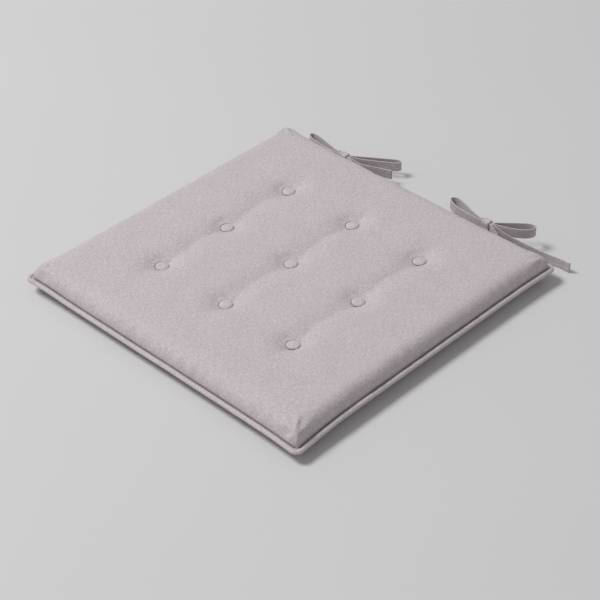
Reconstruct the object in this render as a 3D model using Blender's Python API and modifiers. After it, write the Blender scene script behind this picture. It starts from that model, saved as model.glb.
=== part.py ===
"""A square chair seat pad: two fabric panels over a foam core, piping round the seam, nine tufting
buttons tied through the pad, and two pairs of fabric ties knotted in bows at the back seam.

Metres, +Z up. The pad lies on z = 0 with its centre over the origin; the ties are on the +Y side.
"""

import math

import bmesh
import bpy
from mathutils import Matrix, Vector

# ---- driving dimensions ----
PAD_WIDTH = 0.400            # across, between the piping's centre lines
PAD_DEPTH = 0.400            # front to back, between the piping's centre lines
PAD_THICKNESS = 0.034        # floor to the top panel, away from the tufts
ROLL = 0.014                 # how far in from its edge a panel rolls over
FABRIC = 0.0008              # wall of the cover fabric
FOAM_GAP = 0.0005            # foam to fabric
FIT = 0.0003                 # gap between pieces that touch

PIPING_HEIGHT = 0.016        # centre of the piping above the floor
PIPING_RADIUS = 0.003
PIPING_CORNER = 0.013        # bend of its centre line at a corner
PIPING_FABRIC = 0.0006
FLANGE_DEPTH = 0.006         # sewn-in edge of the piping's strip
FLANGE_SLIT = 0.0003         # between the strip's two edges

TUFT_PITCH_X = 0.0985
TUFT_PITCH_Y = 0.0985
TOP_DIMPLE_DEPTH = 0.0085
TOP_DIMPLE_RADIUS = 0.045
UNDER_DIMPLE_DEPTH = 0.0045
UNDER_DIMPLE_RADIUS = 0.030
NEEDLE_HOLE = 0.0024         # radius, through fabric and foam
CUT_PAST = 0.010             # how far a hole's cutter reaches past the pad

BUTTON_RADIUS = 0.0075
BUTTON_HEIGHT = 0.0032
BUTTON_GATHER = 0.00075      # the button's foot lies this far in from its widest
BUTTON_TURN_UNDER = 0.0021   # width of the cloth turned in under it
BUTTON_FABRIC = 0.0005
SHANK_RADIUS = 0.0017
SHANK_LENGTH = 0.0030
THREAD_RADIUS = 0.0006
BACKING_RADIUS = 0.0060
BACKING_THICKNESS = 0.0022
BACKING_WEB = 0.0014         # thickness inside its rim
BACKING_RIM = 0.0015         # width of its rim
BACKING_RIM_SLOPE = 0.0006   # rim to web

TIE_WIDTH = 0.012
TIE_THICKNESS = 0.0014
TIE_GAP = 0.00035            # between layers of tie inside a knot
BAND_BITE = 0.0002           # how far a knot's band sinks into the strap that it is part of
TAB_GAP = 0.00045            # piping to the end of a tie at the seam
KNOT_WIDTH = 0.0095
KNOT_REACH = 0.0041          # piping's centre line to the knot's near face
LEFT_KNOT_X = -0.113
LEFT_KNOT_HEIGHT = 0.0145
RIGHT_KNOT_X = 0.104
RIGHT_KNOT_HEIGHT = 0.022

# ---- how finely the soft shapes are divided ----
CELLS_TO_TUFT = 5
CELLS_TO_ROLL = 4
CELLS_IN_ROLL = 3
CORNER_STEPS = 6
WRAP_STEPS = 10
BAND_CORNER_STEPS = 3
ROD_SIDES = 8
TURN_STEPS = 12
ROUTE_STEPS = 4
SAME_POINT = 0.00001         # points closer than this are merged

# ---- worked out from them ----
FLANGE_HALF = FLANGE_SLIT / 2 + PIPING_FABRIC
PANEL_INSET = PIPING_RADIUS + FIT
PANEL_HALF_X = PAD_WIDTH / 2 - PANEL_INSET
PANEL_HALF_Y = PAD_DEPTH / 2 - PANEL_INSET
PANEL_CORNER = PIPING_CORNER - PANEL_INSET
TOP_RIM = PIPING_HEIGHT + FLANGE_HALF + FIT
UNDER_RIM = PIPING_HEIGHT - FLANGE_HALF - FIT
FOAM_INSET = PIPING_RADIUS + FLANGE_DEPTH + FOAM_GAP
FOAM_ROLL = ROLL + PANEL_INSET - FOAM_INSET
FOAM_CORNER = PIPING_CORNER - FOAM_INSET
BUTTON_FOOT = BUTTON_RADIUS - BUTTON_GATHER
TIE_LAYER = TIE_THICKNESS + TIE_GAP
LAYERS_HALF = 1.5 * TIE_LAYER + TIE_THICKNESS / 2
BAND_NEAR = LAYERS_HALF + TIE_GAP + TIE_THICKNESS / 2
BAND_FAR = LAYERS_HALF - BAND_BITE + TIE_THICKNESS / 2
KNOT_Y = PAD_DEPTH / 2 + KNOT_REACH + BAND_NEAR + TIE_THICKNESS / 2

COLUMNS = {"left": -1, "centre": 0, "right": 1}
ROWS = {"front": -1, "middle": 0, "back": 1}

# ---- the ties' routes, from the middle of each knot: across, outward, up, twist in degrees ----
ROUTE_LAYER = 0.00175        # pitch of the layers in a knot that these are laid out for
LEFT_TIE_A = [
    (0.016, -0.0047, 0.0, 0), (0.010, -0.0034, 0.0, 0), (0.005, -0.00262, 0.0, 0),
    (-0.005, -0.00262, 0.0, 0), (-0.018, -0.0034, 0.0, 0), (-0.034, -0.0034, 0.0005, 0),
    (-0.048, -0.0022, 0.001, 0), (-0.057, 0.0010, 0.001, 0), (-0.060, 0.0042, 0.001, 0),
    (-0.0575, 0.0072, 0.001, 0), (-0.048, 0.0072, 0.001, 0), (-0.034, 0.0046, 0.0005, 0),
    (-0.020, 0.0018, 0.0, 0), (-0.010, -0.0001, 0.0, 0), (-0.005, -0.00087, 0.0, 0),
    (0.005, -0.00087, 0.0, 0), (0.014, -0.0012, -0.0005, 0), (0.026, -0.0006, -0.001, 0),
    (0.040, 0.0040, -0.001, 0), (0.052, 0.0090, -0.001, 0), (0.063, 0.0130, -0.001, 0),
]
LEFT_TIE_B = [
    (-0.004, 0.00087, 0.0, 0), (0.005, 0.00087, 0.0, 0), (0.014, 0.0030, 0.0, 0),
    (0.028, 0.0100, 0.0, 0), (0.042, 0.0185, 0.0, 0), (0.053, 0.0255, 0.0, 0),
    (0.0585, 0.0300, 0.0, 0), (0.0590, 0.0340, 0.0, 0), (0.0545, 0.0345, 0.0, 0),
    (0.044, 0.0280, 0.0, 0), (0.030, 0.0185, 0.0, 0), (0.016, 0.0090, 0.0, 0),
    (0.009, 0.0043, 0.0, 0), (0.0065, 0.0028, 0.0, 0), (0.005, 0.00262, 0.0, 0),
    (0.0, 0.00262, 0.0, 0), (-0.005, 0.00262, 0.0, 0), (-0.007, 0.0028, -0.0003, 2),
    (-0.012, 0.0036, -0.002, 12), (-0.022, 0.0052, -0.007, 50), (-0.032, 0.0050, -0.0117, 84),
    (-0.045, 0.0035, -0.0133, 90), (-0.060, 0.0028, -0.0133, 90), (-0.078, 0.0025, -0.0133, 90),
]
RIGHT_TIE_A = [
    (0.0175, -0.0047, -0.005, 0), (0.0125, -0.0038, -0.0032, 0), (0.0085, -0.0030, -0.0009, 0),
    (0.005, -0.00262, 0.0, 0), (-0.005, -0.00262, 0.0, 0), (-0.015, -0.0032, 0.0, 0),
    (-0.030, -0.0030, 0.0005, 0),
    (-0.044, -0.0015, 0.001, 0), (-0.054, 0.0020, 0.001, 0), (-0.0585, 0.0065, 0.001, 0),
    (-0.056, 0.0105, 0.001, 0), (-0.048, 0.0110, 0.001, 0), (-0.034, 0.0068, 0.0005, 0),
    (-0.020, 0.0025, 0.0, 0), (-0.010, 0.0, 0.0, 0), (-0.005, -0.00087, 0.0, 0),
    (0.005, -0.00087, 0.0, 0), (0.009, -0.0006, -0.0004, 0), (0.0145, 0.0003, -0.0025, 0),
    (0.023, 0.0021, -0.0062, 0),
    (0.035, 0.0058, -0.010, 0), (0.050, 0.0090, -0.0125, 0), (0.070, 0.0125, -0.0146, 0),
    (0.088, 0.0155, -0.0152, 0), (0.1035, 0.0165, -0.0152, 0),
]
RIGHT_TIE_B = [
    (-0.004, 0.00087, 0.0, 0), (0.005, 0.00087, 0.0, 0), (0.012, 0.0020, 0.0, 0),
    (0.022, 0.0055, 0.0, 0), (0.034, 0.0110, 0.0, 0), (0.043, 0.0180, 0.0, 0),
    (0.0465, 0.0250, 0.0, 0), (0.0445, 0.0295, 0.0, 0), (0.0385, 0.0290, 0.0, 0),
    (0.030, 0.0230, 0.0, 0), (0.020, 0.0145, 0.0, 0), (0.011, 0.0065, 0.0, 0),
    (0.0068, 0.0029, 0.0, 0), (0.005, 0.00262, 0.0, 0), (0.0, 0.00262, 0.0, 0),
    (-0.005, 0.00262, 0.0, 0), (-0.007, 0.0028, -0.0005, 2), (-0.012, 0.0036, -0.004, 12),
    (-0.022, 0.0056, -0.012, 50), (-0.034, 0.0052, -0.0190, 84), (-0.048, 0.0038, -0.0208, 90),
    (-0.064, 0.0030, -0.0208, 90), (-0.082, 0.0026, -0.0208, 90),
]


def clear_scene():
    for thing in list(bpy.data.objects):
        bpy.data.objects.remove(thing)


def collection(name):
    group = bpy.data.collections.new(name)
    bpy.context.scene.collection.children.link(group)
    return group


def material(name, colour, roughness, metallic=0.0):
    made = bpy.data.materials.new(name)
    made.use_nodes = True
    made.diffuse_color = (*colour, 1.0)
    surface = made.node_tree.nodes["Principled BSDF"]
    surface.inputs["Base Color"].default_value = (*colour, 1.0)
    surface.inputs["Roughness"].default_value = roughness
    surface.inputs["Metallic"].default_value = metallic
    return made


def place(name, data, finish, location=(0.0, 0.0, 0.0)):
    thing = bpy.data.objects.new(name, data)
    thing.location = location
    PARTS.objects.link(thing)
    data.materials.clear()
    data.materials.append(finish)
    return thing


def as_cutter(thing):
    PARTS.objects.unlink(thing)
    CUTTERS.objects.link(thing)
    thing.hide_render = True
    thing.display_type = "WIRE"
    return thing


def place_swept(name, curve, finish, matrix):
    """Places the mesh that a curve sweeps out."""
    swept = place(name, curve, finish)
    mesh = bpy.data.meshes.new_from_object(
        swept.evaluated_get(bpy.context.evaluated_depsgraph_get())
    )
    bpy.data.objects.remove(swept)
    thing = place(name, mesh, finish)
    thing.matrix_world = matrix
    return thing


def add_solidify(thing, thickness, offset):
    wall = thing.modifiers.new("Wall", "SOLIDIFY")
    wall.thickness = thickness
    wall.offset = offset
    wall.use_even_offset = True
    return wall


def add_boolean(thing, other, operation):
    cut = thing.modifiers.new(operation.title(), "BOOLEAN")
    cut.operation = operation
    cut.object = other
    cut.solver = "EXACT"
    return cut


# ---- the pad's surfaces ----

def edge_inset(x, y, half_x, half_y, corner):
    """How far a point lies inside a rectangle with rounded corners."""
    across = abs(x) - (half_x - corner)
    along = abs(y) - (half_y - corner)
    outside = math.hypot(max(across, 0.0), max(along, 0.0))
    return corner - outside - min(max(across, along), 0.0)


def tuft_points():
    return [
        (row_name, column_name, column * TUFT_PITCH_X, row * TUFT_PITCH_Y)
        for row_name, row in ROWS.items()
        for column_name, column in COLUMNS.items()
    ]


def dimple(away, depth, radius):
    """How deep a tuft draws a panel in at a distance from its thread."""
    if away >= radius:
        return 0.0
    return depth * (1.0 + math.cos(math.pi * away / radius)) / 2.0


def dimples(x, y, depth, radius):
    return max(
        dimple(math.hypot(x - tuft_x, y - tuft_y), depth, radius)
        for _, _, tuft_x, tuft_y in tuft_points()
    )


def steepest_facet(half, pitch, depth, radius):
    """The steepest slope, along one axis, of the facets that meet at a tuft."""
    cells = (pitch / CELLS_TO_TUFT, (half - ROLL - pitch) / CELLS_TO_ROLL)
    return max((depth - dimple(cell, depth, radius)) / cell for cell in cells)


def rise_beside_tuft(reach, depth, radius):
    """How much less a panel is drawn in at this reach, on the facets that meet at a tuft."""
    return reach * math.hypot(
        steepest_facet(PANEL_HALF_X, TUFT_PITCH_X, depth, radius),
        steepest_facet(PANEL_HALF_Y, TUFT_PITCH_Y, depth, radius),
    )


def button_seat():
    rise = rise_beside_tuft(BUTTON_FOOT, TOP_DIMPLE_DEPTH, TOP_DIMPLE_RADIUS)
    return PAD_THICKNESS - TOP_DIMPLE_DEPTH + rise + FIT


def backing_top():
    rise = rise_beside_tuft(BACKING_RADIUS, UNDER_DIMPLE_DEPTH, UNDER_DIMPLE_RADIUS)
    return UNDER_DIMPLE_DEPTH - rise - FIT


def rolled(inset, roll):
    """Share of its full rise that a panel has at this inset: a quarter round, then flat."""
    share = max(0.0, 1.0 - max(inset, 0.0) / roll)
    return math.sqrt(max(0.0, 1.0 - share * share))


def grid_line(step, half, roll, pitch):
    """Distance from the middle of the grid line numbered step, counted outward from 0."""
    roll_start = half - roll
    if step <= CELLS_TO_TUFT:
        return pitch * step / CELLS_TO_TUFT
    if step <= CELLS_TO_TUFT + CELLS_TO_ROLL:
        return pitch + (roll_start - pitch) * (step - CELLS_TO_TUFT) / CELLS_TO_ROLL
    turn = (step - CELLS_TO_TUFT - CELLS_TO_ROLL) / CELLS_IN_ROLL * math.pi / 2.0
    return roll_start + roll * math.sin(turn)


def round_the_corner(x, y, half_x, half_y, corner):
    """Moves a point of a square-cornered grid so that the grid's corner becomes a quarter round."""
    across = (abs(x) - (half_x - corner)) / corner
    along = (abs(y) - (half_y - corner)) / corner
    if across <= 0.0 or along <= 0.0:
        return x, y
    new_x = half_x - corner + corner * across * math.sqrt(1.0 - along * along / 2.0)
    new_y = half_y - corner + corner * along * math.sqrt(1.0 - across * across / 2.0)
    return math.copysign(new_x, x), math.copysign(new_y, y)


def split_towards_corners(sheet):
    """Splits each quad of a grid along the diagonal that points at the nearest corner."""
    for sign, method in ((1.0, "FIXED"), (-1.0, "ALTERNATE")):
        quads = []
        for face in sheet.faces:
            middle = face.calc_center_median()
            if len(face.verts) == 4 and sign * middle.x * middle.y > 0.0:
                quads.append(face)
        bmesh.ops.triangulate(sheet, faces=quads, quad_method=method)


def cushion_grid(half_x, half_y, corner, roll, base, rise, dimple):
    """An open, rolled and dimpled sheet as a bmesh; dimple is its (depth, radius)."""
    half_cells = CELLS_TO_TUFT + CELLS_TO_ROLL + CELLS_IN_ROLL
    sheet = bmesh.new()
    bmesh.ops.create_grid(
        sheet, x_segments=2 * half_cells, y_segments=2 * half_cells, size=float(half_cells)
    )
    split_towards_corners(sheet)
    direction = math.copysign(1.0, rise)
    for vertex in sheet.verts:
        step_x = round(vertex.co.x)
        step_y = round(vertex.co.y)
        x = math.copysign(grid_line(abs(step_x), half_x, roll, TUFT_PITCH_X), step_x)
        y = math.copysign(grid_line(abs(step_y), half_y, roll, TUFT_PITCH_Y), step_y)
        x, y = round_the_corner(x, y, half_x, half_y, corner)
        height = rise * rolled(edge_inset(x, y, half_x, half_y, corner), roll)
        vertex.co = (x, y, base + height - direction * dimples(x, y, *dimple))
    if direction < 0.0:
        bmesh.ops.reverse_faces(sheet, faces=sheet.faces)
    return sheet


def finish_bmesh(mesh_name, sheet):
    mesh = bpy.data.meshes.new(mesh_name)
    sheet.to_mesh(mesh)
    sheet.free()
    return mesh


def make_needle_holes():
    """One cutter for all nine holes: upright rods that stand apart."""
    rods = bmesh.new()
    for _, _, x, y in tuft_points():
        bmesh.ops.create_cone(
            rods, cap_ends=True, segments=ROD_SIDES, radius1=NEEDLE_HOLE, radius2=NEEDLE_HOLE,
            depth=PAD_THICKNESS + 2.0 * CUT_PAST,
            matrix=Matrix.Translation((x, y, PAD_THICKNESS / 2.0)),
        )
    return as_cutter(place("needle_holes", finish_bmesh("needle_holes", rods), PLASTIC))


def make_panels(holes):
    top = cushion_grid(
        PANEL_HALF_X, PANEL_HALF_Y, PANEL_CORNER, ROLL, TOP_RIM, PAD_THICKNESS - TOP_RIM,
        (TOP_DIMPLE_DEPTH, TOP_DIMPLE_RADIUS),
    )
    under = cushion_grid(
        PANEL_HALF_X, PANEL_HALF_Y, PANEL_CORNER, ROLL, UNDER_RIM, -UNDER_RIM,
        (UNDER_DIMPLE_DEPTH, UNDER_DIMPLE_RADIUS),
    )
    for name, sheet in (("top_panel", top), ("bottom_panel", under)):
        panel = place(name, finish_bmesh(name, sheet), CLOTH)
        add_solidify(panel, FABRIC, -1.0)
        add_boolean(panel, holes, "DIFFERENCE")


def make_foam(holes):
    """Top and under sheets that share their rim at the piping's height, joined into one body."""
    half_x = PAD_WIDTH / 2.0 - FOAM_INSET
    half_y = PAD_DEPTH / 2.0 - FOAM_INSET
    skin = FABRIC + FOAM_GAP
    top_rise = PAD_THICKNESS - skin - PIPING_HEIGHT
    under_rise = skin - PIPING_HEIGHT
    body = cushion_grid(
        half_x, half_y, FOAM_CORNER, FOAM_ROLL, PIPING_HEIGHT, top_rise,
        (TOP_DIMPLE_DEPTH, TOP_DIMPLE_RADIUS),
    )
    under = cushion_grid(
        half_x, half_y, FOAM_CORNER, FOAM_ROLL, PIPING_HEIGHT, under_rise,
        (UNDER_DIMPLE_DEPTH, UNDER_DIMPLE_RADIUS),
    )
    body.from_mesh(finish_bmesh("foam_underside", under))
    bmesh.ops.remove_doubles(body, verts=body.verts, dist=SAME_POINT)
    foam = place("foam_core", finish_bmesh("foam_core", body), FOAM)
    add_boolean(foam, holes, "DIFFERENCE")


# ---- piping ----

def rounded_outline(half_x, half_y, corner, steps):
    """Points round a rectangle with rounded corners, anticlockwise from the +X side."""
    points = []
    for quarter, (sign_x, sign_y) in enumerate(((1, 1), (-1, 1), (-1, -1), (1, -1))):
        middle_x = sign_x * (half_x - corner)
        middle_y = sign_y * (half_y - corner)
        for step in range(steps + 1):
            turn = (quarter + step / steps) * math.pi / 2.0
            points.append((middle_x + corner * math.cos(turn), middle_y + corner * math.sin(turn)))
    return points


def poly_curve(name, points, cyclic, dimensions="3D"):
    curve = bpy.data.curves.new(name, "CURVE")
    curve.dimensions = dimensions
    spline = curve.splines.new("POLY")
    spline.points.add(len(points) - 1)
    for target, point in zip(spline.points, points):
        target.co = (*point[:3], 1.0)
    spline.use_cyclic_u = cyclic
    return curve


def piping_path():
    outline = rounded_outline(PAD_WIDTH / 2.0, PAD_DEPTH / 2.0, PIPING_CORNER, CORNER_STEPS)
    return [(x, y, PIPING_HEIGHT) for x, y in outline]


def make_piping_cover():
    """A strip folded round the filler cord, its two edges running in between the panels."""
    middle_of_wall = PIPING_RADIUS - PIPING_FABRIC / 2.0
    flange_middle = FLANGE_HALF - PIPING_FABRIC / 2.0
    mouth = math.asin(flange_middle / middle_of_wall)
    profile = [(-PIPING_RADIUS - FLANGE_DEPTH, flange_middle, 0.0)]
    for step in range(WRAP_STEPS + 1):
        turn = math.pi - mouth - (2.0 * math.pi - 2.0 * mouth) * step / WRAP_STEPS
        profile.append((middle_of_wall * math.cos(turn), middle_of_wall * math.sin(turn), 0.0))
    profile.append((-PIPING_RADIUS - FLANGE_DEPTH, -flange_middle, 0.0))
    section = poly_curve("piping_section", profile, cyclic=False, dimensions="2D")
    strip = poly_curve("piping_cover", piping_path(), cyclic=True)
    strip.bevel_mode = "OBJECT"
    strip.bevel_object = as_cutter(place("piping_section", section, CLOTH))
    strip.twist_mode = "Z_UP"
    add_solidify(place("piping_cover", strip, CLOTH), PIPING_FABRIC, 0.0)


def make_piping_cord():
    curve = poly_curve("piping_cord", piping_path(), cyclic=True)
    curve.bevel_depth = PIPING_RADIUS - PIPING_FABRIC - FIT
    curve.bevel_resolution = 2
    curve.twist_mode = "Z_UP"
    place("piping_cord", curve, COTTON_CORD)


# ---- tuft buttons ----

def turned_mesh(name, profile):
    mesh = bpy.data.meshes.new(name)
    points = [(radius, 0.0, height) for radius, height in profile]
    mesh.from_pydata(points, [(i, i + 1) for i in range(len(points) - 1)], [])
    return mesh


def place_turned(name, mesh, finish, location):
    thing = place(name, mesh, finish, location)
    turn = thing.modifiers.new("Turn", "SCREW")
    turn.steps = TURN_STEPS
    turn.render_steps = TURN_STEPS
    turn.use_merge_vertices = True
    turn.merge_threshold = SAME_POINT
    turn.use_smooth_shade = True
    return thing


def dome(radius, height):
    """The top of a button from its crown to its rim."""
    shares = ((0.0, 1.0), (0.5, 0.94), (0.84, 0.75), (1.0, 0.42))
    return [(radius * out, height * up) for out, up in shares]


def button_cover_profile():
    """A cloth cap, gathered in under the button's edge."""
    foot = BUTTON_FOOT
    lip = foot - BUTTON_TURN_UNDER
    inside = dome(BUTTON_RADIUS - BUTTON_FABRIC, BUTTON_HEIGHT - BUTTON_FABRIC)
    under = [
        (foot, 0.0), (lip, 0.0), (lip, BUTTON_FABRIC), (foot - BUTTON_FABRIC, BUTTON_FABRIC),
    ]
    return dome(BUTTON_RADIUS, BUTTON_HEIGHT) + under + inside[::-1]


def button_shell_profile():
    """A pressed metal form with a shank that the thread ties to."""
    inset = BUTTON_FABRIC + FIT
    crown = dome(BUTTON_RADIUS - inset, BUTTON_HEIGHT - inset)
    back = BUTTON_FABRIC + FIT
    foot = BUTTON_FOOT - inset
    return crown + [
        (foot, back), (SHANK_RADIUS, back), (SHANK_RADIUS, -SHANK_LENGTH), (0.0, -SHANK_LENGTH),
    ]


def backing_profile():
    """A plain disc with a raised rim underneath."""
    rim = BACKING_RADIUS - BACKING_RIM
    return [
        (0.0, 0.0), (BACKING_RADIUS, 0.0), (BACKING_RADIUS, -BACKING_THICKNESS),
        (rim, -BACKING_THICKNESS), (rim - BACKING_RIM_SLOPE, -BACKING_WEB), (0.0, -BACKING_WEB),
    ]


def make_buttons():
    cover = turned_mesh("button_cover", button_cover_profile())
    shell = turned_mesh("button_shell", button_shell_profile())
    backing = turned_mesh("backing_button", backing_profile())
    seat = button_seat()
    under = backing_top()
    thread_top = seat - SHANK_LENGTH - FIT
    thread_end = under + FIT
    for row, column, x, y in tuft_points():
        spot = f"{row}_{column}"
        place_turned(f"button_cover_{spot}", cover, CLOTH, (x, y, seat))
        place_turned(f"button_shell_{spot}", shell, STEEL, (x, y, seat))
        place_turned(f"backing_button_{spot}", backing, PLASTIC, (x, y, under))
        thread = bmesh.new()
        bmesh.ops.create_cone(
            thread, cap_ends=True, segments=ROD_SIDES, radius1=THREAD_RADIUS,
            radius2=THREAD_RADIUS, depth=thread_top - thread_end,
        )
        middle = (x, y, (thread_top + thread_end) / 2.0)
        name = f"tuft_thread_{spot}"
        place(name, finish_bmesh(name, thread), TWINE, middle)


# ---- ties ----

def smooth_route(route):
    """Points read from a smooth curve through a route's own points."""
    points = []
    for index in range(len(route) - 1):
        before = Vector(route[max(index - 1, 0)])
        start = Vector(route[index])
        end = Vector(route[index + 1])
        after = Vector(route[min(index + 2, len(route) - 1)])
        for step in range(ROUTE_STEPS):
            t = step / ROUTE_STEPS
            points.append(0.5 * (
                2.0 * start
                + (end - before) * t
                + (2.0 * before - 5.0 * start + 4.0 * end - after) * t ** 2
                + (3.0 * start - before - 3.0 * end + after) * t ** 3
            ))
    points.append(Vector(route[-1]))
    return points


def tie_ribbon(name, route, hinge, knot):
    """A flat ribbon along a route, on edge where its twist is 0 and flat where it is 90."""
    offset = Vector(knot) - Vector(hinge)
    spread = TIE_LAYER / ROUTE_LAYER
    points = smooth_route([(x, out * spread, up, twist) for x, out, up, twist in route])
    curve = poly_curve(name, [Vector(point[:3]) + offset for point in points], cyclic=False)
    for target, point in zip(curve.splines[0].points, points):
        target.tilt = math.radians(point[3])
    curve.twist_mode = "Z_UP"
    curve.extrude = TIE_WIDTH / 2.0
    ribbon = place_swept(name, curve, CLOTH, Matrix.Translation(hinge))
    add_solidify(ribbon, TIE_THICKNESS, 0.0)
    return ribbon


def knot_band(name, hinge, knot):
    """The turn of tie round the knot, as a band open to both sides, and its end at the seam."""
    half_y = (BAND_NEAR + BAND_FAR) / 2.0
    middle_y = (BAND_FAR - BAND_NEAR) / 2.0
    half_z = (TIE_WIDTH + TIE_THICKNESS) / 2.0 + FIT
    corners = rounded_outline(half_y, half_z, TIE_THICKNESS, BAND_CORNER_STEPS)
    outline = [(y + middle_y, z, 0.0) for y, z in corners]
    curve = poly_curve(name, outline, cyclic=True, dimensions="2D")
    curve.fill_mode = "NONE"
    curve.extrude = KNOT_WIDTH / 2.0
    band = place_swept(name, curve, CLOTH, Matrix((
        (0.0, 0.0, 1.0, knot[0]), (1.0, 0.0, 0.0, knot[1]), (0.0, 1.0, 0.0, knot[2]),
        (0.0, 0.0, 0.0, 1.0),
    )))
    add_solidify(band, TIE_THICKNESS, 0.0)
    root_start = PAD_DEPTH / 2.0 + PIPING_RADIUS + TAB_GAP
    root_end = knot[1] - BAND_NEAR
    root = bmesh.new()
    bmesh.ops.create_cube(root, size=1.0, matrix=Matrix.Diagonal(
        (KNOT_WIDTH, root_end - root_start, TIE_THICKNESS, 1.0)
    ))
    middle = (knot[0], (root_start + root_end) / 2.0, hinge[2] - FIT)
    tab = place(f"{name}_root", finish_bmesh(f"{name}_root", root), CLOTH, middle)
    return as_cutter(band), as_cutter(tab)


def make_tie(side, knot, route_a, route_b):
    hinge = (knot[0], PAD_DEPTH / 2.0, PIPING_HEIGHT)
    tie_ribbon(f"{side}_tie_strap_a", route_a, hinge, knot)
    strap_b = tie_ribbon(f"{side}_tie_strap_b", route_b, hinge, knot)
    for piece in knot_band(f"{side}_knot_band", hinge, knot):
        add_boolean(strap_b, piece, "UNION")


clear_scene()
PARTS = collection("chair_seat_pad")
CUTTERS = collection("cutters")
CLOTH = material("mauve_grey_cloth", (0.47, 0.42, 0.43), 0.9)
FOAM = material("foam", (0.86, 0.82, 0.70), 0.95)
COTTON_CORD = material("cotton_cord", (0.85, 0.83, 0.78), 0.9)
STEEL = material("pressed_steel", (0.60, 0.60, 0.62), 0.35, 1.0)
TWINE = material("twine", (0.70, 0.66, 0.65), 0.8)
PLASTIC = material("clear_plastic", (0.75, 0.72, 0.72), 0.3)

needle_holes = make_needle_holes()
make_panels(needle_holes)
make_foam(needle_holes)
make_piping_cover()
make_piping_cord()
make_buttons()
make_tie("left", (LEFT_KNOT_X, KNOT_Y, LEFT_KNOT_HEIGHT), LEFT_TIE_A, LEFT_TIE_B)
make_tie("right", (RIGHT_KNOT_X, KNOT_Y, RIGHT_KNOT_HEIGHT), RIGHT_TIE_A, RIGHT_TIE_B)
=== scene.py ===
# %% [markdown]
# # A tufted chair seat pad, dressed in cloth
# The measured frame of the pad is already made: two panels, piping, a foam core, nine tufting
# buttons and two tied bows. This lesson gives each of them the look of the real thing. Every
# place and size is read from the frame, so nothing has to be fitted by eye.

# %% Load the frame
import math
import random

import bmesh
import bpy
import numpy as np
from mathutils import Matrix, Vector, noise


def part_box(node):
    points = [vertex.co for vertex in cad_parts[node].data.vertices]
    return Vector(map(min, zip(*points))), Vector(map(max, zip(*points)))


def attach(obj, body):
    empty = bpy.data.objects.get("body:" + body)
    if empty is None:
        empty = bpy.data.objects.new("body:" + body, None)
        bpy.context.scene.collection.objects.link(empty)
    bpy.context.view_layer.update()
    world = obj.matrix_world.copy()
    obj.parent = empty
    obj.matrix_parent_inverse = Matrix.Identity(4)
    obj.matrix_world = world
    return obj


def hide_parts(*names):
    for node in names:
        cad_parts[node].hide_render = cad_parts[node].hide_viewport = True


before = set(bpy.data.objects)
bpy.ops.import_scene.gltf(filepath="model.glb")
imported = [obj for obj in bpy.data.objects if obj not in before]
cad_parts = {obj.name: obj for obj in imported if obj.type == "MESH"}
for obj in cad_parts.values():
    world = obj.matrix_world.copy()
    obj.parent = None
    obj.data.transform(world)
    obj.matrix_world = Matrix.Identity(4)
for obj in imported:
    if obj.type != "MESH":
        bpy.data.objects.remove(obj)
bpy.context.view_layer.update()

# %% [markdown]
# ## Camera
# A long lens from far away keeps the pad's sides nearly parallel. The camera is turned to stand
# between the front and the right edge and looks down on the pad. Building its axes by hand, and
# not with a Track To constraint, keeps the slight tilt of a hand-held camera.

# %% Camera
AZIMUTH = math.radians(44.07)
ELEVATION = math.radians(37.66)
DISTANCE = 1.946
TARGET = Vector((0.0254, -0.0126, 0.0))
TILT = -0.0094

backward = Vector((
    math.sin(AZIMUTH) * math.cos(ELEVATION),
    -math.cos(AZIMUTH) * math.cos(ELEVATION),
    math.sin(ELEVATION),
))
level = Vector((math.cos(AZIMUTH), math.sin(AZIMUTH), 0.0))
rightward = (math.cos(TILT) * level + math.sin(TILT) * backward.cross(level)).normalized()
camera = bpy.data.objects.new("camera", bpy.data.cameras.new("camera"))
camera.data.sensor_width = 36.0
camera.data.lens = 108.0
camera.matrix_world = Matrix.LocRotScale(
    TARGET + DISTANCE * backward,
    Matrix((rightward, backward.cross(rightward), backward)).transposed(),
    None,
)
bpy.context.scene.collection.objects.link(camera)
bpy.context.scene.camera = camera
print("camera at", [round(value, 3) for value in camera.location])

# %% [markdown]
# ## Shader arithmetic
# Cloth, twine and brushed metal are all patterns worked out from a position. Wiring Math nodes
# by hand hides the formula, so one small class wraps a socket and lets it be added, multiplied
# and compared as a number would be. Every other node comes from Finish.node.

# %% A socket that takes part in arithmetic
class Signal:
    """The output of a node, usable in Python expressions."""

    def __init__(self, finish, node, output=0):
        self.finish = finish
        self.made_by = node
        self.socket = node.outputs[output]

    def output(self, name):
        return Signal(self.finish, self.made_by, name)

    def maths(self, operation, *values):
        return self.finish.node("Math", {"operation": operation}, dict(enumerate(values)))

    def __add__(self, other):
        return self.maths("ADD", self, other)

    def __sub__(self, other):
        return self.maths("SUBTRACT", self, other)

    def __rsub__(self, other):
        return self.maths("SUBTRACT", other, self)

    def __mul__(self, other):
        return self.maths("MULTIPLY", self, other)

    def __truediv__(self, other):
        return self.maths("DIVIDE", self, other)

    def __pow__(self, other):
        return self.maths("POWER", self, other)

    __radd__ = __add__
    __rmul__ = __mul__

    def sine(self):
        return self.maths("SINE", self)

    def size(self):
        return self.maths("ABSOLUTE", self)

    def clipped(self):
        return self.finish.node("Clamp", {}, {0: self})


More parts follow.
